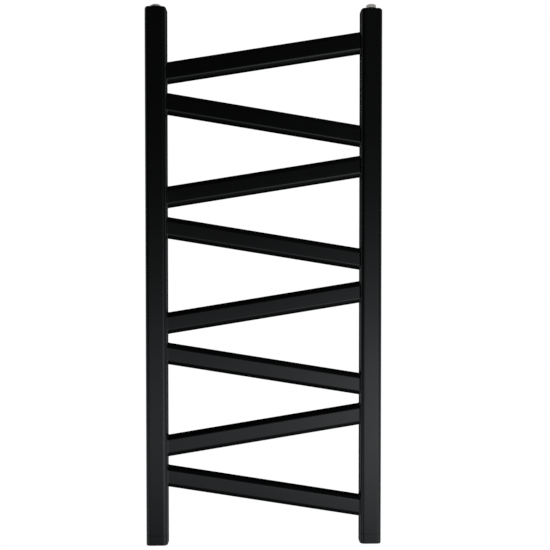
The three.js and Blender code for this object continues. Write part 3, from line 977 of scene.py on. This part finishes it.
def ramp_of(tree, sine, stops):
    """Half of the brightness along a direction's component, from stops at angles in degrees."""
    ramp = add(tree, "ValToRGB", {"Fac": remap(tree, sine, 0, 1, start=-1, end=1)})
    elements = ramp.color_ramp.elements
    while len(elements) < len(stops):
        elements.new(0.5)
    for element, (degrees, level) in zip(elements, stops):
        element.position = (math.sin(math.radians(degrees)) + 1) / 2
        element.color = (level / 2, level / 2, level / 2, 1)
    return ramp.outputs["Color"]


def maths(tree, operation, first, second=0.0):
    return add(tree, "Math", {0: first, 1: second}, operation=operation).outputs[0]


def studio():
    """A white surround for the camera. The rack reflects a dark tent instead, with a bright band low in front
    and panels at both sides and behind."""
    world = bpy.data.worlds.new("studio")
    bpy.context.scene.world = world
    world.use_nodes = True
    tree = world.node_tree
    tree.nodes.clear()

    def times(first, *others):
        for other in others:
            first = maths(tree, "MULTIPLY", first, other)
        return first

    def fade(value, low, high, start, end):
        return remap(tree, value, low, high, start=start, end=end)

    direction = add(tree, "TexCoord").outputs["Generated"]
    axes = add(tree, "SeparateXYZ", {"Vector": direction}).outputs
    right, ahead, up = axes["X"], axes["Y"], axes["Z"]
    across, along = maths(tree, "ABSOLUTE", right), maths(tree, "ABSOLUTE", ahead)
    in_front = fade(ahead, 4, 0.12, start=-0.2, end=0.35)  # 4 makes up for the two halved ramps
    front = times(ramp_of(tree, up, BAND), ramp_of(tree, right, SWEEP), in_front)
    low = times(fade(up, SIDES, 0, start=-0.48, end=-0.12), fade(along, 0, 1, start=0.25, end=0.55))
    flanks = fade(along, FLANKS, 0, start=0.08, end=0.16)
    panels = times(maths(tree, "MAXIMUM", low, flanks), fade(across, 0, 1, start=0.4, end=0.6))
    behind = times(
        fade(ahead, 0, BACK, start=0.2, end=0.45),
        fade(across, 0, 1, start=0.5, end=0.7),
        fade(up, 1, 0.6, start=-0.12, end=0.05),
    )
    strength = maths(tree, "ADD", front, maths(tree, "MAXIMUM", panels, behind))
    tent = add(tree, "Background", {"Color": (0.96, 1, 1.04, 1), "Strength": strength})
    white = add(tree, "Background", {"Color": (1, 1, 1, 1), "Strength": 1.0})
    sight = add(tree, "LightPath").outputs["Is Camera Ray"]
    both = add(tree, "MixShader", {0: sight, 1: tent.outputs[0], 2: white.outputs[0]})
    add(tree, "OutputWorld", {"Surface": both.outputs[0]})
    bpy.context.scene.view_settings.view_transform = "Standard"


def fittings_softbox(name, place, width, height, brightness, lit):
    """A softbox that lights a few pieces only, so the black coat stays dark. Its lengths are in metres."""
    data = bpy.data.lights.new(name, "AREA")
    data.shape = "RECTANGLE"
    data.size, data.size_y = width, height
    data.energy = brightness * math.pi * width * height
    made = bpy.data.objects.new(name, data)
    made.location = place
    aim = Vector((0, 0, 1)) - made.location
    made.rotation_euler = aim.to_track_quat("-Z", "Y").to_euler()
    made.visible_camera = False
    made.light_linking.receiver_collection = lit
    bpy.context.scene.collection.objects.link(made)


def light_fittings(*pieces):
    """Softboxes for the bright fittings: in front, at both sides, behind and overhead."""
    lit = bpy.data.collections.new("bright_fittings")
    for piece in pieces:
        lit.objects.link(piece)
    fittings_softbox("front_softbox", (0.1, -1.7, 1.5), 2.2, 1.3, 0.5, lit)
    fittings_softbox("left_softbox", (-1.95, -1.1, 1.8), 2, 1.2, 0.5, lit)
    fittings_softbox("right_softbox", (1.95, -1.1, 1.8), 2, 1.2, 0.5, lit)
    fittings_softbox("rear_softbox", (0, 1.5, 1.6), 4.4, 1.2, 0.4, lit)
    fittings_softbox("high_softbox", (0, 0.35, 2.4), 2.4, 2.4, 0.7, lit)


# ---------------------------------------------------------------- the scene

camera()
pale_floor()
studio()

for word, side in (("left", -1), ("right", 1)):
    upright(word, side)
    top_cap(word)
    pipe_end(word)
for number in range(1, RUNG["count"] + 1):
    rung(number)

seal("vent_gasket", "vent_seal", "left")
seal("plug_gasket", "plug_seal", "right")
light_fittings(vent_body(), vent_spout(), bleed_screw(), hex_plug())

for corner in ("upper_left", "upper_right", "lower_left", "lower_right"):
    for make in (boss, boss_weld, pin, sleeve, cover, grub_screw, wall_screw, wall_plug):
        make(corner)
